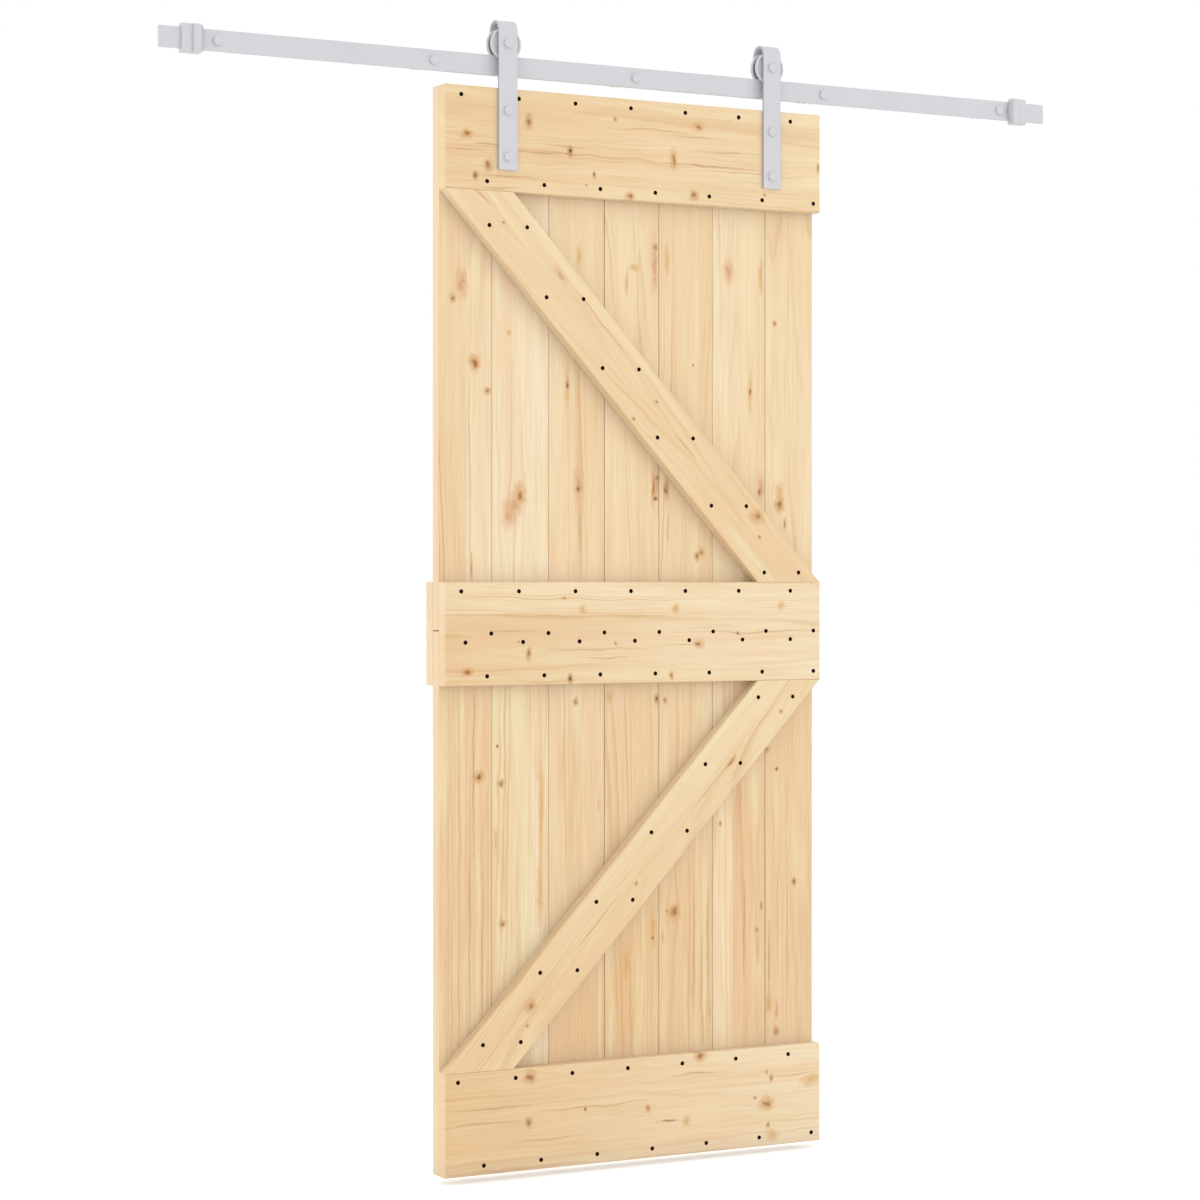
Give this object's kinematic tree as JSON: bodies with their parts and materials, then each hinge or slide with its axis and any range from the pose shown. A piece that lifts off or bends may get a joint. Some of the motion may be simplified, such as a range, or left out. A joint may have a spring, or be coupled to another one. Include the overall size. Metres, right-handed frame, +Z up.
{
  "type": "sliding barn door",
  "caption": "Sliding plank door with a K-braced timber frame, hung from bent strap hangers whose grooved wheels roll along a flat wall-mounted track with end stops.",
  "frame": {"origin": "on the wall plane, at the axis of the track's middle fixing", "axes": "+X along the track, to the right seen from the front; +Y into the wall; +Z up"},
  "size_m": [2, 0.1295, 2.233],
  "materials": {
    "pine": "sanded, unfinished pine",
    "coated_steel": "satin powder coat",
    "black_screw": "black phosphate",
    "zinc": "zinc plated",
    "rubber": "matte, light grey"
  },
  "bodies": {
    "track": {"track_bar": "coated_steel", "spacer_1": "coated_steel", "spacer_2": "coated_steel", "spacer_3": "coated_steel", "spacer_4": "coated_steel", "spacer_5": "coated_steel", "lag_screws": "coated_steel", "stop_clamp_left": "coated_steel", "stop_clamp_right": "coated_steel", "stop_pad_left": "rubber", "stop_pad_right": "rubber", "stop_screws": "zinc"},
    "door": {"upper_board_1": "pine", "upper_board_2": "pine", "upper_board_3": "pine", "upper_board_4": "pine", "upper_board_5": "pine", "upper_board_6": "pine", "upper_board_7": "pine", "lower_board_1": "pine", "lower_board_2": "pine", "lower_board_3": "pine", "lower_board_4": "pine", "lower_board_5": "pine", "lower_board_6": "pine", "lower_board_7": "pine", "top_rail": "pine", "middle_rail": "pine", "bottom_rail": "pine", "back_rail": "pine", "upper_brace": "pine", "lower_brace": "pine", "top_rail_screws": "black_screw", "middle_rail_screws": "black_screw", "bottom_rail_screws": "black_screw", "back_rail_screws": "black_screw", "upper_brace_screws": "black_screw", "lower_brace_screws": "black_screw", "hanger_strap_left": "coated_steel", "hanger_strap_right": "coated_steel", "strap_bolts_left": "coated_steel", "strap_bolts_right": "coated_steel", "strap_washers_left": "zinc", "strap_washers_right": "zinc", "strap_nuts_left": "zinc", "strap_nuts_right": "zinc", "axle_bolt_left": "coated_steel", "axle_bolt_right": "coated_steel", "axle_sleeve_left": "zinc", "axle_sleeve_right": "zinc", "axle_nut_left": "zinc", "axle_nut_right": "zinc"},
    "left_wheel": {"wheel_left": "coated_steel", "wheel_bearing_left": "zinc"},
    "right_wheel": {"wheel_right": "coated_steel", "wheel_bearing_right": "zinc"}
  },
  "joints": [
    {"name": "door_slide", "type": "slide", "parent": "track", "child": "door", "axis": [1, 0, 0], "range_m": [-0.598, 0.576]},
    {"name": "left_wheel_spin", "type": "hinge", "parent": "door", "child": "left_wheel", "pos_m": [-0.292, -0.0745, 0.042], "axis": [0, 1, 0], "continuous": true},
    {"name": "right_wheel_spin", "type": "hinge", "parent": "door", "child": "right_wheel", "pos_m": [0.308, -0.0745, 0.042], "axis": [0, 1, 0], "continuous": true}
  ],
  "couplings": [
    {"joint": "left_wheel_spin", "follows": "door_slide", "rad_per_m": 45.455},
    {"joint": "right_wheel_spin", "follows": "door_slide", "rad_per_m": 45.455}
  ]
}
